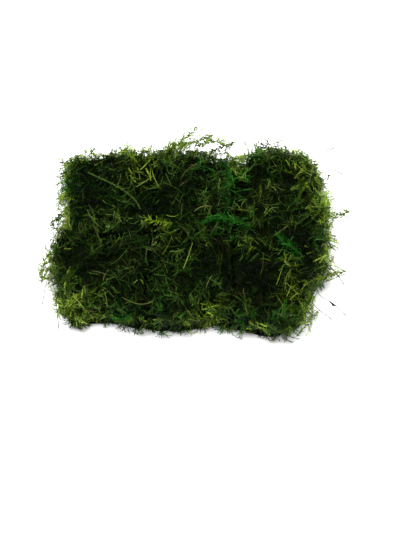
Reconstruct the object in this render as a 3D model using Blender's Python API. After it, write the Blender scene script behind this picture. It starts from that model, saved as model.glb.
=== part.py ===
"""Moss clump: a rectangular mat of feathery creeping moss, with the loose shoots that stand out of it.

The mat is a tangle of six tufts that lie side by side, each a low cushion with a flat underside.
On it and at its edges lie single shoots, stems and a twig. Everything rests together, nothing moves.

Frame: metres, +Z up, +X along the mat's length, +Y towards its far edge. The origin is the centre
of the clump's bounding box, on the surface that it rests on.
"""

import math

import bmesh
import bpy
from mathutils import Vector, noise
from mathutils.bvhtree import BVHTree

MM = 0.001

# Driving dimensions of the mat
MAT_HEIGHT = 28.5 * MM      # to the tips of the upper shoots, between the lumps
EDGE_HEIGHT = 19.0 * MM     # where the rounded shoulder runs into the side
SHOULDER = 9.5 * MM         # how far in from the edge the top starts to round over
FULLNESS = 2.2              # of the shoulder's curve: 2 is a quarter circle, more is squarer
UNDERCUT = 3.0 * MM         # how far the foot stands in from the widest line
LUMP_HEIGHT = 2.6 * MM      # the tufts' own swells, up and down
LUMP_SIZE = 24.0 * MM       # from one swell to the next
GAP = 0.3 * MM              # between neighbouring solids
GRID_ALONG = 26             # faces along the mat's length
GRID_ACROSS = 18            # faces across it
HALF_LENGTH = 78 * MM       # of the plain rectangle that the grid starts from
HALF_WIDTH = 54 * MM

# The mat's edge, in mm, anticlockwise from the near left corner
EDGE_MM = [
    (-70, -50), (-50, -48.5), (-33, -51.5), (-15, -53), (8, -50), (18, -49.5), (40, -53.5),
    (56, -52.5), (65, -43), (68, -31), (71.5, -22.5), (76.5, -18), (78, -6), (78, 11), (78.5, 20),
    (75, 39), (69, 53.5), (62, 59.5), (50, 61.5), (36, 61), (22, 53.5), (12, 54), (-5, 59),
    (-28, 58.5), (-48, 57.5), (-62, 54.5), (-76, 52), (-81.5, 39), (-77.5, 13), (-78.5, 5),
    (-83.3, -2), (-83.5, -16), (-77.5, -36),
]

# Where one tuft parts from the next: a point on the line and its direction, in mm
MAIN_CLEFT = ((23.5, 30), (0.03, 1))
LEFT_ROW = ((-30, 0), (1, 0.03))
RIGHT_ROW = ((50, -6), (1, -0.12))
FAR_LEFT_CUT = ((-25, 30), (-0.16, 1))
NEAR_LEFT_CUT = ((-27, -30), (0.12, 1))
FURROW_DEPTH = 0.8 * MM     # along a line where two tufts meet
CLEFT_DEPTH = 13.0 * MM     # in the open far end of the main cleft
CLEFT_END = 8 * MM          # the cleft is deep from the far edge down to this y

# Colours as red, green, blue, in linear light
DEEP_GREEN = (0.016, 0.032, 0.006)
OLIVE = (0.060, 0.085, 0.014)
YELLOW_GREEN = (0.150, 0.190, 0.020)
BRIGHT_GREEN = (0.020, 0.130, 0.020)
TAN = (0.210, 0.160, 0.060)
BROWN = (0.035, 0.022, 0.010)

# Loose shoots and stems that lie on the mat: name, colour, radius in mm, points in mm
LYING = [
    ("long_leafy_shoot", OLIVE, 0.9, [(-62, 34), (-54, 30), (-45, 27), (-36, 20), (-31, 12)]),
    ("tan_bent_stem", TAN, 0.6, [(-0.5, 12.2), (2, 14.6), (5, 15.3), (8, 14.6)]),
    ("pale_stalk", YELLOW_GREEN, 0.8, [(-1.2, -6), (-2.2, -11), (-3.7, -16.5), (-5.5, -21.5)]),
    ("comb_shoot", YELLOW_GREEN, 1.4, [(-27, 5), (-22, 5.6), (-17.5, 5.2), (-12.5, 4.7)]),
    ("bright_shoot_middle", BRIGHT_GREEN, 1.3, [(4, 5), (11, 7.5), (18, 7.2), (24, 7.2), (31, 4.2)]),
    ("bright_shoot_right", BRIGHT_GREEN, 1.3, [(44, -1), (48.5, -4.2), (53, -7.5), (58, -12.3)]),
    ("pale_curved_stem", TAN, 0.6, [(-37, -38), (-32, -41), (-27, -42.5), (-21, -41)]),
]

# Shoots that stand out of the mat's edge: name, colour, radius in mm, points in mm from the root
STANDING = [
    ("far_spray_stem", OLIVE, 1.1, [(-14, 54.5, 28.5), (-10, 57.4, 32), (-6, 59.9, 35), (-1, 62.1, 37)]),
    ("far_spray_twig", BROWN, 1.0, [(-17, 52.5, 29.5), (-10.5, 54, 32), (-3.5, 54.4, 34), (1.5, 56.2, 35.5)]),
    ("far_spray_branch", OLIVE, 1.0, [(0, 52.5, 29.5), (3.3, 56.1, 32.5), (7, 57.2, 34.5), (9, 55, 35)]),
    ("far_spray_shoot", OLIVE, 1.0, [(4, 51, 29), (8.6, 51.9, 31), (12, 52.8, 32.5), (15, 53.6, 33.5)]),
    ("corner_whisker", OLIVE, 0.7, [(70, 50.5, 23), (71.5, 52, 25), (72.8, 53.2, 26.3), (75, 54, 26.5)]),
    ("corner_stem", BROWN, 0.6, [(73, 48.5, 20.5), (75.5, 50, 22), (78, 49.1, 23), (81, 47, 23)]),
    ("right_whisker", BROWN, 0.6, [(79, 20.5, 20.5), (80.7, 21, 22.5), (82.7, 19.7, 24), (85, 17.5, 24.5)]),
    ("right_sprig", YELLOW_GREEN, 1.0,
     [(78.7, 15.5, 19.5), (80, 15.6, 21.5), (81.5, 15.5, 22.5), (83.2, 15.8, 23)]),
    ("stray_stem", BROWN, 0.6,
     [(77.3, -13.5, 20), (79, -15.5, 21.5), (80.6, -17.5, 22), (81.8, -19.5, 21.5)]),
    ("stray_shoot", YELLOW_GREEN, 1.1,
     [(72.8, -22.3, 19.5), (75, -22, 21), (77.3, -21.2, 22), (79.6, -20.6, 22.3)]),
    ("low_stem", BROWN, 0.6, [(71.5, -24, 16.5), (75, -24, 17.5), (78.3, -23, 18), (81, -21.6, 18)]),
    ("bud_shoot", OLIVE, 0.8,
     [(69.7, -28, 18.5), (72, -31, 19.5), (74.6, -34.2, 18.5), (78.5, -34.5, 17), (81.5, -37, 15)]),
    ("low_arc", BROWN, 0.6, [(68, -33, 17), (69, -36.5, 17.5), (71, -38.8, 17), (73.5, -40, 16)]),
    ("near_arc", YELLOW_GREEN, 1.0,
     [(67, -37.5, 18), (67.4, -41.5, 19), (66.3, -45.3, 19), (63.5, -48.5, 18)]),
    ("left_sprig", YELLOW_GREEN, 1.0,
     [(-79.3, 24, 21), (-81.2, 21.8, 22.5), (-81.8, 18, 23), (-80.8, 14.5, 22.5)]),
    ("left_shoot", OLIVE, 0.8, [(-77.8, 12.5, 20), (-80.5, 12.3, 22), (-82.8, 8.8, 23), (-84, 4.7, 22.5)]),
    ("left_low_shoot", YELLOW_GREEN, 1.0,
     [(-83.3, -12, 20), (-85, -15, 21.5), (-86, -18.3, 21.5), (-86, -21.8, 20.5)]),
    ("left_arc", BROWN, 0.6, [(-81.6, -23.5, 18), (-83.6, -27, 19), (-84.6, -30.5, 18.5), (-85, -34, 17)]),
    ("left_leaf", BROWN, 0.9,
     [(-79.5, -30.5, 19), (-80.6, -31.6, 20), (-81.8, -32.2, 20), (-82.8, -32.6, 19.5)]),
    ("dark_twig", BROWN, 0.7, [(-77.8, -39, 20), (-77.6, -42.5, 21), (-77, -46, 21), (-76.2, -49.7, 20)]),
]

ROUTE_STEPS = 4             # points of a stem's tube between two points of its route
LIFT = 0.7 * MM             # a lying shoot's lowest side over the tuft below it


def clear_scene():
    """Remove whatever the open file holds."""
    for thing in list(bpy.data.objects):
        bpy.data.objects.remove(thing, do_unlink=True)


def smooth(points, steps, closed=False):
    """Points along the Catmull-Rom curve through the given ones."""
    points = [Vector(p) for p in points]
    count = len(points)
    curve = []
    for i in range(count if closed else count - 1):
        if closed:
            a, b, c, d = (points[(i + k) % count] for k in (-1, 0, 1, 2))
        else:
            a, b, c, d = (points[min(max(i + k, 0), count - 1)] for k in (-1, 0, 1, 2))
        for step in range(steps):
            t = step / steps
            curve.append(0.5 * (2 * b + (c - a) * t + (2 * a - 5 * b + 4 * c - d) * t * t
                                + (3 * b - a - 3 * c + d) * t ** 3))
    if not closed:
        curve.append(points[-1])
    return curve


def edge_reach():
    """A function that gives the distance from the middle to the mat's edge in any direction."""
    curve = [p * MM for p in smooth(EDGE_MM, 6, closed=True)]
    polar = sorted((math.atan2(p.y, p.x), p.length) for p in curve)
    polar = [(polar[-1][0] - math.tau, polar[-1][1])] + polar + [(polar[0][0] + math.tau, polar[0][1])]

    def reach(angle):
        for (a, ra), (b, rb) in zip(polar, polar[1:]):
            if a <= angle <= b:
                return ra + (rb - ra) * (angle - a) / (b - a)

    return reach


def top_height(inward, x, y):
    """Height of the mat's top at a place, inward being its distance from the edge."""
    rise = min(inward / SHOULDER, 1)
    rounded = (1 - (1 - rise) ** FULLNESS) ** (1 / FULLNESS)
    lump = noise.noise(Vector((x, y, 0)) / LUMP_SIZE) * 2 * LUMP_HEIGHT
    return EDGE_HEIGHT + (MAT_HEIGHT - EDGE_HEIGHT + lump) * rounded


def make_mat():
    """The whole mat as one closed cushion with a flat underside."""
    reach = edge_reach()
    bm = bmesh.new()
    bmesh.ops.create_grid(bm, x_segments=GRID_ALONG, y_segments=GRID_ACROSS, size=1)
    for vert in bm.verts:
        ring = max(abs(vert.co.x), abs(vert.co.y))
        angle = math.atan2(vert.co.y * HALF_WIDTH, vert.co.x * HALF_LENGTH)
        length = reach(angle)
        x = ring * length * math.cos(angle)
        y = ring * length * math.sin(angle)
        vert.co = (x, y, top_height((1 - ring) * length, x, y))
    rim = [edge for edge in bm.edges if edge.is_boundary]
    side = bmesh.ops.extrude_edge_only(bm, edges=rim)["geom"]
    foot = [part for part in side if isinstance(part, bmesh.types.BMVert)]
    for vert in foot:
        flat = Vector((vert.co.x, vert.co.y, 0))
        vert.co = flat - flat.normalized() * UNDERCUT
    close_holes(bm)
    return bm


def close_holes(bm):
    """Fill every open loop and turn all faces outwards."""
    bmesh.ops.holes_fill(bm, edges=[edge for edge in bm.edges if edge.is_boundary])
    bmesh.ops.recalc_face_normals(bm, faces=bm.faces[:])


def furrow(y, deep):
    """How far the top sinks at a cut between two tufts."""
    if deep and y > CLEFT_END:
        return FURROW_DEPTH + (CLEFT_DEPTH - FURROW_DEPTH) * min((y - CLEFT_END) / (20 * MM), 1)
    return FURROW_DEPTH


def cut(mat, line, deep=False):
    """Part a cushion along an upright plane into its left or near piece and the other one."""
    (px, py), (dx, dy) = line
    normal = Vector((dy, -dx, 0)).normalized()
    middle = Vector((px, py, 0)) * MM
    pieces = []
    for side in (1, -1):
        piece = mat.copy()
        plane = middle - normal * side * GAP / 2
        bmesh.ops.bisect_plane(piece, geom=piece.verts[:] + piece.edges[:] + piece.faces[:], dist=1e-7,
                               plane_co=plane, plane_no=normal * side, clear_outer=True)
        for vert in piece.verts:
            on_cut = abs((vert.co - plane).dot(normal)) < 1e-6
            if on_cut and vert.co.z > EDGE_HEIGHT / 2:
                vert.co.z = max(vert.co.z - furrow(vert.co.y, deep), EDGE_HEIGHT / 2)
        close_holes(piece)
        pieces.append(piece)
    mat.free()
    return pieces


def make_tufts():
    """The six tufts, by name."""
    left, right = cut(make_mat(), MAIN_CLEFT, deep=True)
    far_left_part, near_left_part = cut(left, LEFT_ROW)
    far_right, near_right = cut(right, RIGHT_ROW)
    far_left, far_middle = cut(far_left_part, FAR_LEFT_CUT)
    near_left, near_middle = cut(near_left_part, NEAR_LEFT_CUT)
    return {
        "far_left_tuft": far_left, "far_middle_tuft": far_middle, "far_right_tuft": far_right,
        "near_left_tuft": near_left, "near_middle_tuft": near_middle, "near_right_tuft": near_right,
    }


def material(name, colour):
    """A matt Principled material in one colour."""
    made = bpy.data.materials.new(name)
    made.use_nodes = True
    shader = made.node_tree.nodes["Principled BSDF"]
    shader.inputs["Base Color"].default_value = (*colour, 1)
    shader.inputs["Roughness"].default_value = 0.75
    shader.inputs["Metallic"].default_value = 0
    return made


def add_object(name, data, colour):
    """Link a mesh or curve as a named object with a material of its own."""
    thing = bpy.data.objects.new(name, data)
    data.materials.append(material(name, colour))
    bpy.context.collection.objects.link(thing)
    return thing


def add_tuft(name, bm):
    """A tuft's cushion as an object."""
    mesh = bpy.data.meshes.new(name)
    bm.to_mesh(mesh)
    mesh.shade_smooth()
    mesh.set_sharp_from_angle(angle=math.radians(50))
    return add_object(name, mesh, DEEP_GREEN)


def add_stem(name, colour, radius, route):
    """A round stem along a route in metres, tapered to both tips."""
    curve = bpy.data.curves.new(name, "CURVE")
    curve.dimensions = "3D"
    curve.bevel_depth = radius
    curve.bevel_resolution = 1
    curve.use_fill_caps = True
    spline = curve.splines.new("POLY")
    spline.points.add(len(route) - 1)
    last = len(route) - 1
    for i, (point, place) in enumerate(zip(spline.points, route)):
        point.co = (*place, 1)
        point.radius = 0.45 + 0.55 * math.sin(math.pi * min(i / last + 0.15, 1))
    return add_object(name, curve, colour)


def lay_on(tufts, points, radius):
    """A route over the tufts' tops, clear of the highest ground near each of its points."""
    trees = [BVHTree.FromBMesh(bm) for bm in tufts.values()]
    high = Vector((0, 0, 1))
    down = Vector((0, 0, -1))
    route = []
    for place in smooth(points, ROUTE_STEPS):
        ground = 0
        for step_x in (-1, 0, 1):
            for step_y in (-1, 0, 1):
                start = Vector((place.x + step_x, place.y + step_y)).to_3d() * MM + high
                hits = [tree.ray_cast(start, down)[0] for tree in trees]
                ground = max([ground] + [hit.z for hit in hits if hit])
        route.append(Vector((place.x * MM, place.y * MM, ground + radius + LIFT)))
    return route


def stand_on(tufts, points, radius):
    """A route shifted so that its root just clears the nearest tuft."""
    route = [p * MM for p in smooth(points, ROUTE_STEPS)]
    trees = [BVHTree.FromBMesh(bm) for bm in tufts.values()]
    ground, normal, _, _ = min((tree.find_nearest(route[0]) for tree in trees), key=lambda hit: hit[3])
    shift = ground + normal * (radius + GAP) - route[0]
    return [place + shift for place in route]


def centre_all():
    """Shift everything so that the bounding box's bottom centre is the origin."""
    bpy.context.view_layer.update()
    graph = bpy.context.evaluated_depsgraph_get()
    corners = []
    for thing in bpy.data.objects:
        mesh = thing.evaluated_get(graph).to_mesh()
        corners += [vert.co.copy() for vert in mesh.vertices]
        thing.evaluated_get(graph).to_mesh_clear()
    middle = [(min(c[i] for c in corners) + max(c[i] for c in corners)) / 2 for i in range(2)]
    for thing in bpy.data.objects:
        thing.location = (-middle[0], -middle[1], 0)


def main():
    clear_scene()
    tufts = make_tufts()
    for name, colour, radius, points in LYING:
        add_stem(name, colour, radius * MM, lay_on(tufts, points, radius * MM))
    for name, colour, radius, points in STANDING:
        add_stem(name, colour, radius * MM, stand_on(tufts, points, radius * MM))
    for name, bm in tufts.items():
        add_tuft(name, bm)
        bm.free()
    centre_all()


main()
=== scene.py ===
"""Moss clump: looks of a mat of creeping feather moss, made of leafy shoots over a dark tangle.

Every shoot is a small mesh made with bmesh operators. Copies of it are bent along random curves
that start under the surface of a tuft's solid and end at it, so each tuft keeps the solid's form.
"""

import math

import bmesh
import bpy
import numpy as np
from mathutils import Matrix, Vector, noise
from mathutils.bvhtree import BVHTree


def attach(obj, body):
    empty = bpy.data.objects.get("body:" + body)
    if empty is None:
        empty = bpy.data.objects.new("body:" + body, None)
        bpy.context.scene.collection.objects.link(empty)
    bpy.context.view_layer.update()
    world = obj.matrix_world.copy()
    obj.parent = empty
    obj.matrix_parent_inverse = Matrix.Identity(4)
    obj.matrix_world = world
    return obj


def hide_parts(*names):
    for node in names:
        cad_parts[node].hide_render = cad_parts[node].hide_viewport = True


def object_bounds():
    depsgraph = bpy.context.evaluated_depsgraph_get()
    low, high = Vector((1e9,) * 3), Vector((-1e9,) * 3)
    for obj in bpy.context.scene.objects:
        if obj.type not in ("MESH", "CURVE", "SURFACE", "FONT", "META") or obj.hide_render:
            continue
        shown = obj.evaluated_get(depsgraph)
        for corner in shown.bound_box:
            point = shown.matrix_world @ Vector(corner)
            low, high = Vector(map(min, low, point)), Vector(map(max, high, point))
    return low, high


bl_info = {
    "name": "Moss Clump",
    "version": (1, 0, 0),
    "blender": (4, 5, 0),
    "location": "3D View > Sidebar > Moss",
    "description": "Grows a mat of creeping moss over the clump's solids",
    "category": "Object",
}

MM = 0.001
BAKE_MAP = "OFBake"         # the pieces' UV map: across is the shoot's hue, up is its tone and length

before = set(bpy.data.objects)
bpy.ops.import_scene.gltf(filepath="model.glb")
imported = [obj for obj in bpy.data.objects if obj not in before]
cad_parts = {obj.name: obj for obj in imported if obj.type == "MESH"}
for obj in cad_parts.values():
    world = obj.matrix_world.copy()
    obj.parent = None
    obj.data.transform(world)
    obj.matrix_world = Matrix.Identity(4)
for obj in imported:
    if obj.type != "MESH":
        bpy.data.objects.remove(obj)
CAD_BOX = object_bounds()
TUFTS = sorted(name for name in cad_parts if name.endswith("_tuft"))

# Hues: places across the moss colour ramp
EMERALD, GREEN, OLIVE, YELLOW, TAN, BROWN = 0.06, 0.24, 0.42, 0.60, 0.78, 0.94

# Patches of the mat: middle in mm, radius in mm, hue, share of the shoots that take it,
# and how many tone rows lighter they are: above zero partly the shoots' own paler colour and partly
# painted light, most in the yellow patches along the edges; below zero painted shade in hollows and clefts
PATCHES = [
    ((-71, 24), 6, EMERALD, 0.9, 1.8), ((21, 37), 4, EMERALD, 0.8, 1.2), ((22, 30), 3, EMERALD, 0.9, 1.8),
    ((21, 24), 3, EMERALD, 0.9, 1.6), ((19, 18), 4, EMERALD, 0.5, 0.8), ((35, 46), 8, GREEN, 0.4, 1.6),
    ((74, 19), 7, YELLOW, 0.8, 1.8),
    ((11, 36), 9, EMERALD, 0.35, 0.0), ((32, 45), 6, EMERALD, 0.5, 0.8), ((15, 3), 7, EMERALD, 0.45, 0.5),
    ((26, 4), 5, EMERALD, 0.45, 0.5), ((50, -9), 6, EMERALD, 0.6, 0.5), ((50, -48), 6, EMERALD, 0.5, 0.5),
    ((-38, -49), 7, EMERALD, 0.35, 0.0), ((-12, -50), 7, EMERALD, 0.4, 0.0),
    ((27, -50), 6, EMERALD, 0.4, 0.0), ((-42, -32), 4, EMERALD, 0.4, 0.3), ((5, 45), 8, GREEN, 0.7, 0.3),
    ((-27, 29), 6, YELLOW, 0.7, 1.6), ((-16, 4), 6, YELLOW, 0.5, 1.2), ((-35, 46), 9, YELLOW, 0.5, 1.0),
    ((-15, 45), 8, OLIVE, 0.6, 0.4), ((-5, 48), 6, BROWN, 0.35, 0.5), ((66, 26), 10, YELLOW, 0.5, 0.8),
    ((62, 42), 8, YELLOW, 0.4, 0.4), ((54, -24), 7, YELLOW, 0.5, 1.0), ((58, -40), 9, YELLOW, 0.5, 1.0),
    ((-71, -36), 9, YELLOW, 0.4, 0.8), ((-62, -47), 9, YELLOW, 0.6, 0.9), ((10, -47), 8, YELLOW, 0.4, 0.8),
    ((-76, -15), 6, YELLOW, 0.4, 0.6), ((-74, 8), 6, YELLOW, 0.6, 1.0), ((-50, 3), 10, OLIVE, 0.4, 0.8),
    ((74, 8), 7, YELLOW, 0.7, 1.8), ((74, -11), 7, YELLOW, 0.7, 1.8), ((40, 14), 12, OLIVE, 0.4, 0.5),
    # Painted shade: these patches, below zero, darken the shoots in the hollows and clefts
    ((-62, 28), 10, GREEN, 0.4, -2.2), ((-20, 15), 9, GREEN, 0.4, -2.2), ((-4, 23), 7, GREEN, 0.4, -1.6),
    ((-58, 14), 8, GREEN, 0.4, -1.0), ((27, 31), 4, EMERALD, 0.6, -5.0),
    ((27, 22), 4, GREEN, 0.7, -4.5), ((27, 39), 4, EMERALD, 0.6, -3.0), ((36, 30), 6, GREEN, 0.3, -1.5),
    ((55, 33), 6, GREEN, 0.3, -1.2), ((54, -3), 5, GREEN, 0.3, -3.0), ((65, -8), 6, GREEN, 0.3, -2.4),
    ((65, -22), 6, GREEN, 0.3, -2.4), ((36, -28), 15, BROWN, 0.2, -2.2), ((20, -26), 8, GREEN, 0.3, -1.5),
    ((-70, -22), 7, GREEN, 0.3, -1.6), ((-55, -27), 9, GREEN, 0.3, -1.3), ((-40, -18), 8, GREEN, 0.3, -1.0),
    ((12, -18), 7, GREEN, 0.3, -0.8),
]
TONES = 8                   # rows of the bake map, from the darkest shoots to the lightest


def linear(hex_colour):
    """Linear red, green and blue of an sRGB hex colour."""
    parts = [int(hex_colour[i:i + 2], 16) / 255 for i in (1, 3, 5)]
    return tuple(c / 12.92 if c <= 0.04045 else ((c + 0.055) / 1.055) ** 2.4 for c in parts)


def colour_property(name, description, hex_colour):
    """A colour setting with its default."""
    return bpy.props.FloatVectorProperty(name=name, description=description, subtype="COLOR", size=3,
                                         min=0, max=1, default=linear(hex_colour))


def length_property(name, description, millimetres):
    """A length setting with its default."""
    return bpy.props.FloatProperty(name=name, description=description, unit="LENGTH",
                                   subtype="DISTANCE", precision=5, default=millimetres * MM)


class MossShootSettings(bpy.types.PropertyGroup):
    """Sizes of one leafy shoot."""
    leaf_length: length_property("Leaf Length", "Length of a leaf in the middle of a shoot", 1.25)
    leaf_width: length_property("Leaf Width", "Width of a leaf at its foot", 0.45)
    leaf_spacing: length_property("Leaf Spacing", "Stem between two pairs of leaves", 0.9)
    stem_radius: length_property("Stem Radius", "Radius of a leafy stem at its root", 0.17)
    leaf_angle: bpy.props.FloatProperty(name="Leaf Angle", description="Angle of a leaf off its stem",
                                        subtype="ANGLE", default=math.radians(42))


class MossTuftSettings(bpy.types.PropertyGroup):
    """How thickly a tuft is grown."""
    shoots: bpy.props.IntProperty(name="Leafy Shoots", default=10500,
                                  description="Leafy shoots on the whole mat")
    stems: bpy.props.IntProperty(name="Bare Stems", default=3900,
                                 description="Thin bare stems on the whole mat")
    reach: length_property("Reach", "How far the longest tips stand past the tuft's solid", 4.2)
    core_depth: length_property("Core Depth", "How far the dark tangle lies under the tips", 7.5)
    seed: bpy.props.IntProperty(name="Seed", description="Seed of the shoots' random growth", default=7)


class MossColourSettings(bpy.types.PropertyGroup):
    """Colours of the shoots, from the freshest to the dead ones."""
    emerald: colour_property("Fresh", "Fresh growth", "#256010")
    green: colour_property("Green", "Full-grown leaves", "#2f4d14")
    olive: colour_property("Olive", "Older leaves", "#40561c")
    # Also painted light: the glow of light through the thin fringe along the edges
    yellow: colour_property("Yellow Green", "Leaves at the edges", "#71881d")
    tan: colour_property("Tan", "Dry stems", "#6d6f38")
    brown: colour_property("Brown", "Dead shoots", "#29260f")


class MossStageSettings(bpy.types.PropertyGroup):
    """Floor, lights and camera."""
    floor: colour_property("Floor", "Pale floor", "#fbfbfa")
    key_power: bpy.props.FloatProperty(name="Key Power", description="Power of the large top light",
                                       unit="POWER", default=19.0)
    fill: bpy.props.FloatProperty(name="Fill", description="Strength of the even light", default=0.2)


# ---------------------------------------------------------------- materials

def add_node(tree, kind, settings=None, inputs=None):
    """Add a node, with its settings, and its inputs as values or as sockets to link from."""
    made = tree.nodes.new(kind)
    for name, value in (settings or {}).items():
        setattr(made, name, value)
    for name, value in (inputs or {}).items():
        if isinstance(value, bpy.types.NodeSocket):
            tree.links.new(value, made.inputs[name])
        else:
            made.inputs[name].default_value = value
    return made


def fill_ramp(node, stops):
    """Set a colour ramp's stops."""
    ramp = node.color_ramp
    while len(ramp.elements) > 2:
        ramp.elements.remove(ramp.elements[-1])
    for i, (place, colour) in enumerate(stops):
        stop = ramp.elements[i] if i < 2 else ramp.elements.new(place)
        stop.position = place
        stop.color = (*colour, 1)


def moss_material():
    """Leaves one cell thick: a thin waxy gloss, and much of the light comes through them."""
    colours = bpy.context.scene.moss_colours
    made = bpy.data.materials.new("Creeping feather moss")
    made.use_nodes = True
    tree = made.node_tree
    tree.nodes.clear()
    place = add_node(tree, "ShaderNodeUVMap", {"uv_map": BAKE_MAP})
    split = add_node(tree, "ShaderNodeSeparateXYZ", inputs={0: place.outputs[0]})
    rows = add_node(tree, "ShaderNodeMath", {"operation": "MULTIPLY"}, {0: split.outputs[1], 1: float(TONES)})
    along = add_node(tree, "ShaderNodeMath", {"operation": "FRACT"}, {0: rows.outputs[0]})
    row = add_node(tree, "ShaderNodeMath", {"operation": "FLOOR"}, {0: rows.outputs[0]})
    hue = add_node(tree, "ShaderNodeValToRGB", inputs={0: split.outputs[0]})
    fill_ramp(hue, [(EMERALD, colours.emerald), (GREEN, colours.green), (OLIVE, colours.olive),
                    (YELLOW, colours.yellow), (TAN, colours.tan), (BROWN, colours.brown)])
    light = add_node(tree, "ShaderNodeMath", {"operation": "DIVIDE"}, {0: row.outputs[0], 1: TONES - 1.0})
    curved = add_node(tree, "ShaderNodeMath", {"operation": "POWER"}, {0: light.outputs[0], 1: 2.5})
    tone = add_node(tree, "ShaderNodeMapRange", inputs={0: curved.outputs[0], 3: 0.03, 4: 2.2})
    growth = add_node(tree, "ShaderNodeMapRange", inputs={0: along.outputs[0], 1: 0.0, 2: 1.0,
                                                         3: 0.55, 4: 1.20})
    shade = add_node(tree, "ShaderNodeMath", {"operation": "MULTIPLY"},
                     {0: tone.outputs[0], 1: growth.outputs[0]})
    mottle = add_node(tree, "ShaderNodeTexNoise", {"noise_dimensions": "2D"},
                      {"Vector": place.outputs[0], "Scale": 60.0, "Detail": 1.0})
    patchy = add_node(tree, "ShaderNodeMapRange", inputs={0: mottle.outputs[0], 1: 0.3, 2: 0.7,
                                                         3: 0.8, 4: 1.2})
    value = add_node(tree, "ShaderNodeMath", {"operation": "MULTIPLY"},
                     {0: shade.outputs[0], 1: patchy.outputs[0]})
    # Painted light and shade in the colour: the darker rows, which carry painted shade, are more saturated
    # and greener; the lightest are paler grey-green, a painted sheen
    depth = add_node(tree, "ShaderNodeMapRange", inputs={0: row.outputs[0], 1: 0.0, 2: TONES - 1.0,
                                                        3: 1.25, 4: 0.92})
    turn = add_node(tree, "ShaderNodeMapRange", inputs={0: row.outputs[0], 1: 0.0, 2: TONES - 1.0,
                                                       3: 0.53, 4: 0.5})
    deep = add_node(tree, "ShaderNodeHueSaturation",
                    inputs={"Hue": turn.outputs[0], "Saturation": depth.outputs[0], "Color": hue.outputs[0]})
    colour = add_node(tree, "ShaderNodeVectorMath", {"operation": "SCALE"},
                      {0: deep.outputs[0], "Scale": value.outputs[0]})
    gloss = add_node(tree, "ShaderNodeMapRange", inputs={0: mottle.outputs[0], 1: 0.3, 2: 0.7,
                                                        3: 0.25, 4: 0.45})
    leaf = add_node(tree, "ShaderNodeBsdfPrincipled",
                    inputs={"Base Color": colour.outputs[0], "Roughness": gloss.outputs[0],
                            "Specular IOR Level": 0.13, "IOR": 1.45})
    through = add_node(tree, "ShaderNodeVectorMath", {"operation": "MULTIPLY"},
                       {0: colour.outputs[0], 1: (1.5, 1.6, 0.8)})
    glow = add_node(tree, "ShaderNodeBsdfTranslucent", inputs={"Color": through.outputs[0]})
    both = add_node(tree, "ShaderNodeMixShader",
                    inputs={0: 0.35, 1: leaf.outputs[0], 2: glow.outputs[0]})
    add_node(tree, "ShaderNodeOutputMaterial", inputs={0: both.outputs[0]})
    return made


def core_material():
    """Matted old stems and painted shade: nearly black brown-green with no gloss."""
    made = bpy.data.materials.new("Matted old moss and painted shade")
    made.use_nodes = True
    tree = made.node_tree
    place = add_node(tree, "ShaderNodeUVMap", {"uv_map": BAKE_MAP})
    fibres = add_node(tree, "ShaderNodeTexNoise", {"noise_dimensions": "2D"},
                      {"Vector": place.outputs[0], "Scale": 90.0, "Detail": 2.0})
    colour = add_node(tree, "ShaderNodeValToRGB", inputs={0: fibres.outputs[0]})
    # Nearly black: painted shade for the deep gaps between the shoots, over matted old stems
    fill_ramp(colour, [(0.35, linear("#020501")), (0.65, linear("#0b1005"))])
    shader = tree.nodes["Principled BSDF"]
    tree.links.new(colour.outputs[0], shader.inputs["Base Color"])
    shader.inputs["Roughness"].default_value = 0.95
    shader.inputs["Specular IOR Level"].default_value = 0.0
    return made


def floor_material():
    """White-painted board: matt, with nothing on it to see."""
    made = bpy.data.materials.new("White painted board")
    made.use_nodes = True
    shader = made.node_tree.nodes["Principled BSDF"]
    shader.inputs["Base Color"].default_value = (*bpy.context.scene.moss_stage.floor, 1)
    shader.inputs["Roughness"].default_value = 0.9
    return made


# ---------------------------------------------------------------- one shoot

STEM_SIDES, LEAF_SIDES = 3, 3
STEM_TAPER = 0.35           # a stem's radius at its tip, as a share of that at its root
LEAF_THINNESS = 0.4         # a leaf's thickness as a share of its width
BARE_JOINTS = 6             # bends that a bare stem can take


def start_stem(length, radius, joints):
    """A new bmesh with a tapered stem along X from the origin."""
    bm = bmesh.new()
    bmesh.ops.create_cone(bm, cap_ends=True, segments=STEM_SIDES, radius1=radius,
                          radius2=radius * STEM_TAPER, depth=length)
    long_edges = [edge for edge in bm.edges if edge.calc_length() > length / 2]
    bmesh.ops.subdivide_edges(bm, edges=long_edges, cuts=joints, use_grid_fill=True)
    lift = Matrix.Translation((0, 0, length / 2))
    bmesh.ops.transform(bm, verts=bm.verts[:], matrix=Matrix.Rotation(math.pi / 2, 4, "Y") @ lift)
    return bm


def add_leaf(bm, foot, length, width, angle, roll):
    """A pointed leaf that starts at foot on the stem and leans forwards at an angle."""
    verts = bmesh.ops.create_cone(bm, cap_ends=False, segments=LEAF_SIDES, radius1=width / 2,
                                  radius2=0, depth=length)["verts"]
    flat = Matrix.Diagonal((1, LEAF_THINNESS, 1, 1))
    lay = Matrix.Rotation(math.pi / 2 - angle, 4, "Y")
    turn = Matrix.Rotation(roll, 4, "X")
    lift = Matrix.Translation((0, 0, length / 2))
    bmesh.ops.transform(bm, verts=verts, matrix=Matrix.Translation(foot) @ turn @ lay @ lift @ flat)


def as_arrays(bm):
    """A shoot's corner places and triangles, with its doubles merged."""
    bmesh.ops.remove_doubles(bm, verts=bm.verts, dist=1e-7)
    bmesh.ops.triangulate(bm, faces=bm.faces[:])
    bm.verts.index_update()
    places = np.array([vert.co[:] for vert in bm.verts])
    faces = np.array([[vert.index for vert in face.verts] for face in bm.faces])
    bm.free()
    return places, faces


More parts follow.
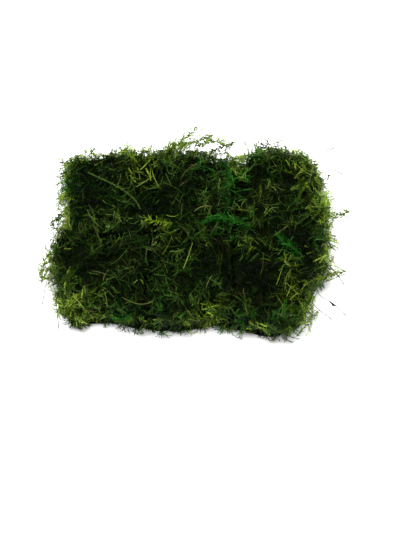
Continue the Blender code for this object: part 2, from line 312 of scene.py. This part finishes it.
def leafy_shoot(rng, length, settings, size=1.0):
    """A straight shoot along X with two ragged rows of leaves and a pointed bud."""
    bm = start_stem(length, settings.stem_radius * size, max(int(length / (2.4 * MM)), 2))
    pairs = int(length / (settings.leaf_spacing * size))
    for i in range(1, pairs + 1):
        share = i / pairs
        swell = (0.55 + 0.45 * min(share * 4, 1)) * (1.12 - 0.5 * share)
        for side in (0, math.pi):
            leaf_length = settings.leaf_length * size * swell * rng.uniform(0.75, 1.2)
            place = length * (share - rng.uniform(0.2, 0.8) / pairs)
            angle = settings.leaf_angle * rng.uniform(0.6, 1.35) * (1.15 - 0.45 * share)
            roll = math.pi / 2 + side + rng.normal(0, 0.45)
            add_leaf(bm, (place, 0, 0), leaf_length, settings.leaf_width * size, angle, roll)
    return as_arrays(bm)


def bare_stem(length, radius):
    """A thin straight stem along X."""
    return as_arrays(start_stem(length, radius, BARE_JOINTS))


# ---------------------------------------------------------------- many shoots

BOX_SLACK = np.array([1.2, 1.2, 0.6]) * MM      # how far a piece may stand past the clump's box
FLOOR_GAP = 0.05 * MM       # how far the lowest places stay off the floor


def bend(places, length, curves, ups, sizes):
    """Copies of a shoot that lies along X, each bent along its own four-point curve."""
    x = places[:, 0]
    t = np.clip(x / length, 0, 1)[None, :, None]
    past = (x - np.clip(x, 0, length))[None, :, None]
    a, b, c, d = (curves[:, None, i] for i in range(4))
    middle = a * (1 - t) ** 3 + b * 3 * t * (1 - t) ** 2 + c * 3 * t ** 2 * (1 - t) + d * t ** 3
    ahead = (b - a) * 3 * (1 - t) ** 2 + (c - b) * 6 * t * (1 - t) + (d - c) * 3 * t ** 2
    ahead /= np.linalg.norm(ahead, axis=2, keepdims=True)
    side = np.cross(ahead, ups[:, None, :])
    side /= np.linalg.norm(side, axis=2, keepdims=True)
    over = np.cross(side, ahead)
    y = places[None, :, 1, None] * sizes[:, None, None]
    z = places[None, :, 2, None] * sizes[:, None, None]
    return middle + side * y + over * z + ahead * past * sizes[:, None, None]


class Growth:
    """Gathers bent copies of shoots into one mesh with its bake map."""

    def __init__(self):
        self.places, self.faces, self.maps, self.count, self.core = [], [], [], 0, 0

    def add(self, shoot, length, curves, ups, sizes, hues, tones):
        """Add copies of a shoot, each with a hue from 0 to 1 and a tone row."""
        places, faces = shoot
        copies = len(curves)
        grown = bend(places, length, curves, ups, sizes)
        starts = self.count + np.arange(copies)[:, None, None] * len(places)
        self.places.append(grown.reshape(-1, 3))
        self.faces.append((faces[None] + starts).reshape(-1, 3))
        share = np.clip(places[:, 0] / length, 0, 1)[faces]
        across = hues[:, None, None] + np.array([0, 0.008, 0.004])
        up = (tones[:, None, None] + 0.06 + 0.82 * share[None] + np.array([0, 0, 0.04])) / TONES
        across, up = np.broadcast_arrays(across, up)
        self.maps.append(np.stack([across, up], axis=-1).reshape(-1, 2))
        self.count += copies * len(places)

    def add_core(self, bm):
        """Add the dark tangle under the shoots, painted nearly black as shade, in the bake map's lowest row.
        """
        places, faces = as_arrays(bm)
        self.core = len(faces)
        self.places.append(places)
        self.faces.append(faces + self.count)
        low, high = places.min(axis=0), places.max(axis=0)
        share = ((places - low) / (high - low))[faces]
        across = 0.02 + 0.94 * share[:, :, 0] + np.array([0, 0.004, 0.002])
        up = (0.1 + 0.75 * share[:, :, 1] + np.array([0, 0, 0.03])) / TONES
        self.maps.append(np.stack([across, up], axis=-1).reshape(-1, 2))
        self.count += len(places)

    def build(self, name, *materials):
        """The finished object, kept on the floor and cut off where it is BOX_SLACK past the clump's box.
        The last material is the core's, where there is a core."""
        places = np.concatenate(self.places)
        faces = np.concatenate(self.faces)
        low, high = (np.array(corner) for corner in CAD_BOX)
        places = np.clip(places, low - BOX_SLACK, high + BOX_SLACK)
        places[:, 2] = np.maximum(places[:, 2], FLOOR_GAP)
        mesh = bpy.data.meshes.new(name)
        mesh.vertices.add(len(places))
        mesh.vertices.foreach_set("co", places.ravel())
        mesh.loops.add(faces.size)
        mesh.loops.foreach_set("vertex_index", faces.ravel())
        mesh.polygons.add(len(faces))
        mesh.polygons.foreach_set("loop_start", np.arange(0, faces.size, 3))
        layer = mesh.uv_layers.new(name=BAKE_MAP)
        mesh.update(calc_edges=True)
        layer.data.foreach_set("uv", np.concatenate(self.maps).ravel())
        mesh.shade_smooth()
        for material in materials:
            mesh.materials.append(material)
        kinds = np.zeros(len(faces), dtype=np.int32)
        kinds[:self.core] = len(materials) - 1
        mesh.polygons.foreach_set("material_index", kinds)
        made = bpy.data.objects.new(name, mesh)
        bpy.context.collection.objects.link(made)
        return made


# ---------------------------------------------------------------- the mat's skin

NEIGHBOUR_GAP = 0.9 * MM    # a steep face nearer than this to another tuft is not an outer face
LEVEL = 0.5                 # faces whose normals rise or fall by more than this are outer faces too
UNDERSIDE = -0.7            # faces whose normals point down by more than this are the underside
TOP_WEIGHT, FLANK_WEIGHT = 0.97, 0.9    # how thickly the top and the flanks are grown
SAME_PLACE = 0.01 * MM
ON_SKIN = 0.05 * MM
CORE_OVERLAP = 0.9          # in mm: how far a core is pushed out towards the next tuft's
CORE_LUMP, CORE_ROUGHNESS = 3.2, 1.1    # in mm: size and depth of a core's lumps


def node_bmesh(name):
    """A CAD node's solid as a bmesh with its doubles merged."""
    bm = bmesh.new()
    bm.from_mesh(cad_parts[name].data)
    bmesh.ops.remove_doubles(bm, verts=bm.verts, dist=1e-6)
    return bm


class Skin:
    """The outer faces of every tuft, without those that face another tuft."""

    def __init__(self):
        solids = {name: node_bmesh(name) for name in TUFTS}
        trees = {name: BVHTree.FromBMesh(bm) for name, bm in solids.items()}
        self.faces = {}
        corners, polygons = [], []
        for name, bm in solids.items():
            others = [tree for other, tree in trees.items() if other != name]
            outer = []
            for face in bm.faces:
                middle = face.calc_center_median()
                near = min((tree.find_nearest(middle)[3] or 1) for tree in others)
                if near > NEIGHBOUR_GAP or abs(face.normal.z) > LEVEL:
                    outer.append([vert.co.copy() for vert in face.verts])
            self.faces[name] = outer
            for face in outer:
                polygons.append(range(len(corners), len(corners) + len(face)))
                corners += face
            bm.free()
        self.tree = BVHTree.FromPolygons(corners, [tuple(p) for p in polygons])

    def triangles(self, name):
        """A tuft's outer faces as an array of triangles."""
        fans = [[face[0], face[i], face[i + 1]] for face in self.faces[name]
                for i in range(1, len(face) - 1)]
        return np.array([[corner[:] for corner in fan] for fan in fans])

    def area(self, name):
        """Area of a tuft's outer faces."""
        triangles = self.triangles(name)
        sides = np.cross(triangles[:, 1] - triangles[:, 0], triangles[:, 2] - triangles[:, 0])
        return np.linalg.norm(sides, axis=1).sum() / 2

    def height(self, point):
        """How far a point stands out of the mat, negative inside it, and which way is out there."""
        place, normal, _, distance = self.tree.find_nearest(point)
        away = point - place
        if distance < SAME_PLACE:
            return 0, normal
        if away.dot(normal) < 0:
            return -distance, -away / distance
        return distance, away / distance


def core_of(name, skin, depth):
    """A dark tangle of matted old stems, painted nearly black as the shade deep between the shoots, that
    fills a tuft's solid up to about a depth under its outer faces.
    It meets the next tuft's, so that no light comes up between them. The seed doesn't hold its lumps:
    noise_vector takes its offsets from the clock, so they move by a millimetre or two on each run."""
    bm = node_bmesh(name)
    pushes = {}
    for vert in bm.verts:
        inwards, outwards = Vector((0, 0, 0)), Vector((0, 0, 0))
        for face in vert.link_faces:
            if skin.tree.find_nearest(face.calc_center_median())[3] < ON_SKIN:
                inwards += face.normal * face.calc_area()
            else:
                outwards += face.normal * face.calc_area()
        facing = inwards.normalized()
        share = 0.3 if facing.z < -0.5 else 0.75 + 0.25 * max(facing.z, 0)
        pushes[vert] = outwards.normalized() * CORE_OVERLAP * MM - facing * depth * share
    for vert, push in pushes.items():
        vert.co += push
        vert.co.z = max(vert.co.z, 1.0 * MM)
    bmesh.ops.subdivide_edges(bm, edges=bm.edges[:], cuts=2, use_grid_fill=True)
    for vert in bm.verts:
        vert.co += noise.noise_vector(vert.co / (CORE_LUMP * MM)) * CORE_ROUGHNESS * MM
        vert.co.z = max(vert.co.z, 0.8 * MM)
    return bm


def pick_roots(rng, triangles, count, under):
    """Random places on a tuft's outer faces with their normals, with the underside's own weight."""
    sides = np.cross(triangles[:, 1] - triangles[:, 0], triangles[:, 2] - triangles[:, 0])
    areas = np.linalg.norm(sides, axis=1)
    normals = sides / np.maximum(areas, 1e-12)[:, None]
    weight = np.where(normals[:, 2] > LEVEL, TOP_WEIGHT, FLANK_WEIGHT)
    weight = np.where(normals[:, 2] < UNDERSIDE, under, weight)
    chance = areas * weight
    chosen = rng.choice(len(triangles), count, p=chance / chance.sum())
    a, b = rng.random((2, count))
    swap = a + b > 1
    a, b = np.where(swap, 1 - a, a), np.where(swap, 1 - b, b)
    corner = triangles[chosen]
    places = (corner[:, 0] + a[:, None] * (corner[:, 1] - corner[:, 0])
              + b[:, None] * (corner[:, 2] - corner[:, 0]))
    return places, normals[chosen]


def unit(vectors):
    """Vectors of length one."""
    return vectors / np.linalg.norm(vectors, axis=-1, keepdims=True)


def wander(places, size, offset=0):
    """Smooth noise at each place, from about -1 to 1, that changes over size."""
    shift = Vector((offset, offset, offset))
    return np.array([noise.noise(Vector(place) / size + shift) for place in places]) * 2


def grow_curves(rng, skin, places, normals, headings, lengths, rise, curl, tips):
    """Four-point curves from inside the mat, each shifted until its highest point is at tips."""
    count = len(places)
    flank = np.clip(1 - normals[:, 2], 0, 1)
    level = np.stack([np.cos(headings), np.sin(headings), np.zeros(count)], axis=1)
    across = unit(level - normals * np.sum(level * normals, axis=1, keepdims=True) + 1e-6)
    climb = flank * rng.uniform(-0.4, 0.9, count)
    lean = across * (1 - 0.5 * flank)[:, None] + np.array([0, 0, 1.0]) * climb[:, None]
    ahead = unit(lean + normals * rise[:, None])
    points = [places - ahead * lengths[:, None] * 0.5]
    for _ in range(3):
        points.append(points[-1] + ahead * lengths[:, None] / 3)
        ahead = unit(ahead + rng.normal(0, curl, (count, 3)))
    curves = np.stack(points, axis=1)
    for i in range(count):
        for _ in range(2):
            heights = [skin.height(Vector(point)) for point in curves[i]]
            top, way = max(heights, key=lambda pair: pair[0])
            curves[i] -= np.array(way) * (top - tips[i])
    return curves


RIM_TOP, RIM_HEIGHT = 27 * MM, 7 * MM


def rim_share(places):
    """How far each place is down the mat's rounded edge, from 0 on the top to 1 on the flanks."""
    return np.clip((RIM_TOP - places[:, 2]) / RIM_HEIGHT, 0, 1)


def patch_shares(places):
    """How strongly each patch holds at each place, from 0 to 1."""
    return [np.clip(1.5 - np.hypot(places[:, 0] - x * MM, places[:, 1] - y * MM) / (radius * MM), 0, 1)
            for (x, y), radius, *_ in PATCHES]


def hue_at(rng, places, rim, base):
    """A hue for each shoot, by the patches that it stands in and how near the edge it is; the yellow-green
    near the edge is painted light through the thin fringe.
    """
    hues = rng.choice(base, len(places))
    # Painted light: near the edge, shoots take the yellow-green of light shining through the thin fringe
    hues = np.where(rng.random(len(places)) < 0.75 * rim, YELLOW, hues)
    for (*_, hue, share, _), held in zip(PATCHES, patch_shares(places)):
        hues = np.where(rng.random(len(places)) < share * held, hue, hues)
    return hues


def grow_shoots(growth, rng, skin, triangles, kinds, number, look):
    """Grow shoots in little sprays: those of a spray share a root, a way, a hue and a tone."""
    sprays = int(number / look["spray"])
    roots, facing = pick_roots(rng, triangles, sprays, look["under"])
    beneath = facing[:, 2] < UNDERSIDE
    flank = np.clip(1 - facing[:, 2], 0, 1)
    heading = wander(roots, 11 * MM) * math.tau + rng.normal(0, 1.2, sprays)
    rise = np.clip(rng.normal(look["rise"] + 0.7 * flank, 0.35, sprays), -0.3, 1.6)
    near, far = np.clip(-facing[:, 1], 0, 1), np.clip(facing[:, 1], 0, 1)
    rim = np.where(beneath, 0, rim_share(roots) * (1 - 0.7 * near))
    # The patches' tone offsets: painted shade below zero, which also sinks the shoots' tips; above zero
    # partly paler shoots and partly painted light
    patch = sum(row[-1] * held for row, held in zip(PATCHES, patch_shares(roots)))
    hollow = np.clip(wander(roots, 7 * MM, 5) * 1.4, 0, 1) * (1 - rim) + np.clip(-patch / 3, 0, 1)
    free = rng.random(sprays) < look["free"] * (0.3 + 0.7 * flank)
    fringe = (0.3 + 0.7 * flank) * (1 + 0.8 * far + 0.3 * np.abs(facing[:, 0]))
    past = look["reach"] * rng.uniform(-0.7, 1, sprays) * fringe
    dense = -rng.exponential(1.6 * MM, sprays) * (1 - 0.4 * flank) - 0.8 * MM * flank
    tips = np.where(free, past, dense) - 3.0 * MM * hollow
    tips = np.where(beneath, rng.uniform(-0.6, 0.4, sprays) * MM, tips)
    hues = np.where(beneath, BROWN, hue_at(rng, roots, rim, look["hues"]))
    # Painted shade: the deeper a spray's tips lie under the mat's face, hollows included, the darker its tone
    # row, by 1.5 rows for each 3 mm and less on the rim
    buried_shade = np.clip(-tips / (3 * MM), 0, 2) * (1 - 0.7 * rim)
    # Painted light: the rim, the flanks and the far side are made lighter, for the light that shines through
    # and onto the thin fringe
    tones = (rng.normal(look["tone"], 1.1, sprays) - 1.5 * buried_shade + patch + 1.9 * rim + 0.5 * flank
             + far)

    member = np.repeat(np.arange(sprays), look["spray"])
    count = len(member)
    places = roots[member] + rng.normal(0, 0.7 * MM, (count, 3))
    headings = heading[member] + rng.normal(0, 0.45, count)
    rises = rise[member] + rng.normal(0, 0.2, count)
    ends = tips[member] - rng.exponential(0.5 * MM, count)
    shades = np.clip(np.floor(tones[member] + rng.normal(0, 1.7, count)), 1, TONES - 1)
    tints = np.clip(hues[member] + rng.normal(0, 0.04, count), 0.01, 0.98)
    sizes = rng.uniform(0.8, 1.25, count) * (1 + 0.25 * flank[member])
    kind_of = rng.integers(0, len(kinds), count)
    for k, (shoot, length) in enumerate(kinds):
        own = kind_of == k
        curves = grow_curves(rng, skin, places[own], facing[member][own], headings[own],
                             length * sizes[own], rises[own], look["curl"], ends[own])
        ups = unit(facing[member][own] + rng.normal(0, 0.5, (own.sum(), 3)))
        growth.add(shoot, length, curves, ups, sizes[own], tints[own], shades[own])


def grow_tuft(name, skin, rng, settings, shoots, stems, share):
    """One tuft: its dark tangle, its bare old stems and its leafy shoots."""
    growth = Growth()
    growth.add_core(core_of(name, skin, settings.core_depth))
    triangles = skin.triangles(name)
    bare = {"spray": 2, "rise": 0.0, "curl": 0.55, "free": 0.0, "reach": 0.0, "under": 0.9,
            "hues": [OLIVE, OLIVE, OLIVE, OLIVE, GREEN, GREEN, TAN, BROWN], "tone": 5.4}
    leafy = {"spray": 4, "rise": 0.3, "curl": 0.45, "free": 0.55, "reach": settings.reach, "under": 0.1,
             "hues": [GREEN, GREEN, GREEN, GREEN, GREEN, OLIVE, OLIVE, OLIVE], "tone": 4.0}
    grow_shoots(growth, rng, skin, triangles, stems, settings.stems * share, bare)
    grow_shoots(growth, rng, skin, triangles, shoots, settings.shoots * share, leafy)
    return growth


# ---------------------------------------------------------------- loose shoots

def centre_line(name, count):
    """Points along the middle of a stem's solid, from the end whose outermost corners spread more.
    That end is often the tip and not the root: most of the standing shoots come out reversed."""
    places = np.array([vert.co[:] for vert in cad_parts[name].data.vertices])
    middle = places.mean(axis=0)
    axis = np.linalg.svd(places - middle, full_matrices=False)[2][0]
    along = (places - middle) @ axis
    stops = np.linspace(along.min(), along.max(), count + 1)
    line = []
    for low, high in zip(stops, stops[1:]):
        ring = places[(along >= low - 1e-9) & (along <= high + 1e-9)]
        if len(ring):
            line.append((ring.min(axis=0) + ring.max(axis=0)) / 2)
    line[0] = places[along <= stops[0] + 1e-6].mean(axis=0)
    line[-1] = places[along >= stops[-1] - 1e-6].mean(axis=0)
    thick = np.linalg.norm(places[along <= stops[0] + 1e-6] - line[0], axis=1).mean()
    thin = np.linalg.norm(places[along >= stops[-1] - 1e-6] - line[-1], axis=1).mean()
    line = np.array(line)
    return line if thick >= thin else line[::-1]


def fit_curve(line):
    """The four-point curve that runs closest to a line's points."""
    steps = np.concatenate([[0], np.cumsum(np.linalg.norm(np.diff(line, axis=0), axis=1))])
    t = steps / steps[-1]
    weights = np.stack([(1 - t) ** 3, 3 * t * (1 - t) ** 2, 3 * t ** 2 * (1 - t), t ** 3], axis=1)
    ends = np.outer(weights[:, 0], line[0]) + np.outer(weights[:, 3], line[-1])
    inner = np.linalg.lstsq(weights[:, 1:3], line - ends, rcond=None)[0]
    return np.stack([line[0], inner[0], inner[1], line[-1]]), steps[-1]


# Loose pieces: node, slot, hue, tone row, kind. The first ones lie on the mat, the others stand out of it
LOOSE = [
    ("long_leafy_shoot", "olive_moss", OLIVE, 6, "leafy"),
    ("tan_bent_stem", "tan_stem", TAN, 6, "bare"),
    ("pale_stalk", "yellow_moss", 0.5, 7, "bare"),
    ("comb_shoot", "yellow_moss", YELLOW, 5, "comb"),
    ("bright_shoot_middle", "bright_moss", EMERALD, 5, "branched"),
    ("bright_shoot_right", "bright_moss", EMERALD, 5, "branched"),
    ("pale_curved_stem", "tan_stem", TAN, 5, "bare"),
    ("far_spray_stem", "olive_moss", 0.5, 6, "spray"),
    ("far_spray_twig", "brown_stem", 0.5, 6, "spray"),
    ("far_spray_branch", "olive_moss", 0.55, 6, "spray"),
    ("far_spray_shoot", "olive_moss", OLIVE, 6, "spray"),
    ("corner_whisker", "olive_moss", OLIVE, 5, "bare"),
    ("corner_stem", "brown_stem", BROWN, 5, "bare"),
    ("right_whisker", "brown_stem", BROWN, 5, "bare"),
    ("right_sprig", "yellow_moss", YELLOW, 5, "branched"),
    ("stray_stem", "brown_stem", OLIVE, 5, "bare"),
    ("stray_shoot", "yellow_moss", YELLOW, 5, "branched"),
    ("low_stem", "brown_stem", OLIVE, 5, "bare"),
    ("bud_shoot", "olive_moss", OLIVE, 5, "bud"),
    ("low_arc", "brown_stem", BROWN, 5, "bare"),
    ("near_arc", "yellow_moss", YELLOW, 5, "leafy"),
    ("left_sprig", "yellow_moss", YELLOW, 5, "branched"),
    ("left_shoot", "olive_moss", OLIVE, 5, "branched"),
    ("left_low_shoot", "yellow_moss", YELLOW, 5, "branched"),
    ("left_arc", "brown_stem", BROWN, 5, "bare"),
    ("left_leaf", "brown_stem", GREEN, 3, "bud"),
    ("dark_twig", "brown_stem", BROWN, 3, "bare"),
]


# Side twigs by kind: how far they lean forwards, the shortest and the longest in mm
TWIGS = {"comb": (0.25, 2.2, 4.2), "branched": (0.8, 2.2, 4.2), "spray": (0.7, 3.0, 5.5)}

LYING_COUNT = 7
LYING = [row[0] for row in LOOSE[:LYING_COUNT]]
ROOTED = 8 * MM             # how far a standing shoot goes on past its first point, which may be its tip
NESTLED = np.array([4.5, 2.0, 0]) * MM      # how much nearer the mat it stands than its solid
LINE_PARTS = 9              # parts that a loose stem's solid is cut in to find its middle
LOOSE_RADIUS = 0.36 * MM
TWIG_SPACING = 0.8 * MM
LYING_LEAVES, STANDING_LEAVES = 1.5, 2.2        # sizes of a loose shoot's leaves
LYING_TWIGS, STANDING_TWIGS = 1.0, 1.6          # and of its side twigs' leaves
BUD_LENGTH, BUD_WIDTH, BUD_ANGLE, BUD_PLACE, BUD_TONE = 6 * MM, 3.2 * MM, math.radians(15), 0.35, 3


def point_on(curve, t):
    """A place on a four-point curve."""
    a, b, c, d = curve
    return a * (1 - t) ** 3 + b * 3 * t * (1 - t) ** 2 + c * 3 * t ** 2 * (1 - t) + d * t ** 3


def grow_loose(name, hue, tone, kind, rng):
    """A loose shoot or stem along the middle of its solid."""
    settings = bpy.context.scene.moss_shoots
    line = centre_line(name, LINE_PARTS)
    if name not in LYING:
        inwards = -unit(line[0] * (1, 1.5, 0))
        line = np.concatenate([[line[0] - unit(line[2] - line[0]) * ROOTED], line])
        line += inwards * NESTLED
    curve, length = fit_curve(line)
    growth = Growth()
    up = np.array([[0.2, 0.1, 1.0]])
    one = np.ones(1)
    if kind in ("bare", "bud"):
        shoot = bare_stem(length, LOOSE_RADIUS)
    else:
        shoot = leafy_shoot(rng, length, settings, LYING_LEAVES if name in LYING else STANDING_LEAVES)
    growth.add(shoot, length, curve[None], up, one, one * hue, one * tone)
    if kind == "bud":
        bm = bmesh.new()
        add_leaf(bm, (length * BUD_PLACE, 0, 0), BUD_LENGTH, BUD_WIDTH, BUD_ANGLE, 0)
        growth.add(as_arrays(bm), length, curve[None], up, one, one * BROWN, one * BUD_TONE)
    if kind in TWIGS:
        forwards, shortest, longest = TWIGS[kind]
        number = int(length / TWIG_SPACING)
        for i in range(number):
            t = (i + 0.5) / number
            foot = point_on(curve, t)
            ahead = unit(point_on(curve, min(t + 0.05, 1)) - point_on(curve, max(t - 0.05, 0)))
            side = np.cross(ahead, [0, 0, 1.0]) * rng.choice([-1, 1])
            way = unit(side + ahead * forwards + rng.normal(0, 0.2, 3))
            reach = rng.uniform(shortest, longest) * MM * (1.1 - 0.5 * t)
            twig = np.stack([foot, foot + way * reach / 3, foot + (way + ahead * 0.2) * reach * 2 / 3,
                             foot + (way + ahead * 0.4) * reach])
            branch = leafy_shoot(rng, reach, settings, LYING_TWIGS if name in LYING else STANDING_TWIGS)
            shade = np.clip(tone + rng.integers(-2, 2), 1, TONES - 1)
            growth.add(branch, reach, twig[None], up, one, one * hue, one * shade)
    return growth


# ---------------------------------------------------------------- operators

def settle(piece, slot, *nodes):
    """Make a piece ride the clump and stand for its nodes; its slot is not used."""
    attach(piece, "root")
    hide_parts(*nodes)


def the_moss():
    """The moss material, made once."""
    return bpy.data.materials.get("Creeping feather moss") or moss_material()


# In mm
SHOOT_LENGTHS = (4, 5, 6, 7.5, 9, 11)
STEM_LENGTHS = (6, 9, 13)
STEM_RADII = (0.16, 0.22)


class MOSS_OT_tufts(bpy.types.Operator):
    """Grow the six tufts"""
    bl_idname = "moss.tufts"
    bl_label = "Grow Tufts"

    def execute(self, context):
        settings = context.scene.moss_tufts
        sizes = context.scene.moss_shoots
        rng = np.random.default_rng(settings.seed)
        skin = Skin()
        core = core_material()
        shoots = [(leafy_shoot(rng, n * MM, sizes), n * MM) for n in SHOOT_LENGTHS for _ in range(2)]
        stems = [(bare_stem(n * MM, r * MM), n * MM) for n in STEM_LENGTHS for r in STEM_RADII]
        areas = {name: skin.area(name) for name in TUFTS}
        for name in TUFTS:
            share = areas[name] / sum(areas.values())
            growth = grow_tuft(name, skin, rng, settings, shoots, stems, share)
            settle(growth.build(name + "_moss", the_moss(), core), "moss", name)
        return {"FINISHED"}


class MOSS_OT_loose_shoots(bpy.types.Operator):
    """Grow the loose shoots and stems"""
    bl_idname = "moss.loose_shoots"
    bl_label = "Grow Loose Shoots"

    def execute(self, context):
        rng = np.random.default_rng(context.scene.moss_tufts.seed + 1)
        for name, slot, hue, tone, kind in LOOSE:
            growth = grow_loose(name, hue, tone, kind, rng)
            settle(growth.build(name + "_leafy", the_moss()), slot, name)
        return {"FINISHED"}


FLOOR_REACH = 2.0           # metres from the clump to the floor's sides
KEY_PLACE, KEY_SIZE = (-0.05, 0.05, 0.80), 0.5  # in metres
FOCAL_LENGTH = 50.66        # millimetres, on a 36 mm sensor
CAMERA_PLACE = (14.50 * MM, -161.35 * MM, 411 * MM)
CAMERA_PITCH, CAMERA_YAW, CAMERA_ROLL = (math.radians(angle) for angle in (70.2, -3.9, -2.0))


def add_camera():
    """A camera that looks steeply down on the mat from its near side."""
    data = bpy.data.cameras.new("camera")
    data.lens = FOCAL_LENGTH
    camera = bpy.data.objects.new("camera", data)
    ahead = Vector((math.sin(CAMERA_YAW) * math.cos(CAMERA_PITCH),
                    math.cos(CAMERA_YAW) * math.cos(CAMERA_PITCH), -math.sin(CAMERA_PITCH)))
    right = Vector((math.cos(CAMERA_YAW), -math.sin(CAMERA_YAW), 0))
    up = right.cross(ahead)
    tilted_right = right * math.cos(CAMERA_ROLL) + up * math.sin(CAMERA_ROLL)
    tilted_up = up * math.cos(CAMERA_ROLL) - right * math.sin(CAMERA_ROLL)
    turn = Matrix((tilted_right, tilted_up, -ahead)).transposed().to_4x4()
    camera.matrix_world = Matrix.Translation(CAMERA_PLACE) @ turn
    bpy.context.collection.objects.link(camera)
    bpy.context.scene.camera = camera


def add_light(name, place, size, power):
    """A large soft square light that faces the mat."""
    data = bpy.data.lights.new(name, "AREA")
    data.size = size
    data.energy = power
    light = bpy.data.objects.new(name, data)
    light.location = place
    light.rotation_euler = (-Vector(place)).to_track_quat("-Z", "Y").to_euler()
    bpy.context.collection.objects.link(light)


class MOSS_OT_stage(bpy.types.Operator):
    """Set up the floor, the lights and the camera"""
    bl_idname = "moss.stage"
    bl_label = "Set Stage"

    def execute(self, context):
        settings = context.scene.moss_stage
        bm = bmesh.new()
        bmesh.ops.create_grid(bm, x_segments=1, y_segments=1, size=FLOOR_REACH)
        mesh = bpy.data.meshes.new("floor")
        bm.to_mesh(mesh)
        bm.free()
        mesh.materials.append(floor_material())
        floor = bpy.data.objects.new("floor", mesh)
        context.collection.objects.link(floor)
        add_light("key", KEY_PLACE, KEY_SIZE, settings.key_power)
        world = bpy.data.worlds.new("Studio")
        world.use_nodes = True
        background = world.node_tree.nodes["Background"]
        background.inputs["Color"].default_value = (1, 1, 1, 1)
        background.inputs["Strength"].default_value = settings.fill
        context.scene.world = world
        context.scene.view_settings.view_transform = "Standard"
        add_camera()
        return {"FINISHED"}


class MOSS_PT_panel(bpy.types.Panel):
    """The clump's settings and steps"""
    bl_idname = "MOSS_PT_panel"
    bl_label = "Moss Clump"
    bl_space_type = "VIEW_3D"
    bl_region_type = "UI"
    bl_category = "Moss"

    def draw(self, context):
        layout = self.layout
        scene = context.scene
        for settings in (scene.moss_shoots, scene.moss_tufts, scene.moss_colours, scene.moss_stage):
            box = layout.box()
            for name in settings.__annotations__:
                box.prop(settings, name)
        for step in STEPS:
            layout.operator(step.bl_idname)


SETTINGS = {
    "moss_shoots": MossShootSettings,
    "moss_tufts": MossTuftSettings,
    "moss_colours": MossColourSettings,
    "moss_stage": MossStageSettings,
}
STEPS = (MOSS_OT_stage, MOSS_OT_tufts, MOSS_OT_loose_shoots)
CLASSES = (*SETTINGS.values(), *STEPS, MOSS_PT_panel)


def register():
    for made in CLASSES:
        bpy.utils.register_class(made)
    for name, group in SETTINGS.items():
        setattr(bpy.types.Scene, name, bpy.props.PointerProperty(type=group))


def unregister():
    for name in SETTINGS:
        delattr(bpy.types.Scene, name)
    for made in reversed(CLASSES):
        bpy.utils.unregister_class(made)


def main():
    register()
    bpy.ops.moss.stage()
    bpy.ops.moss.tufts()
    bpy.ops.moss.loose_shoots()


if __name__ == "__main__":
    main()
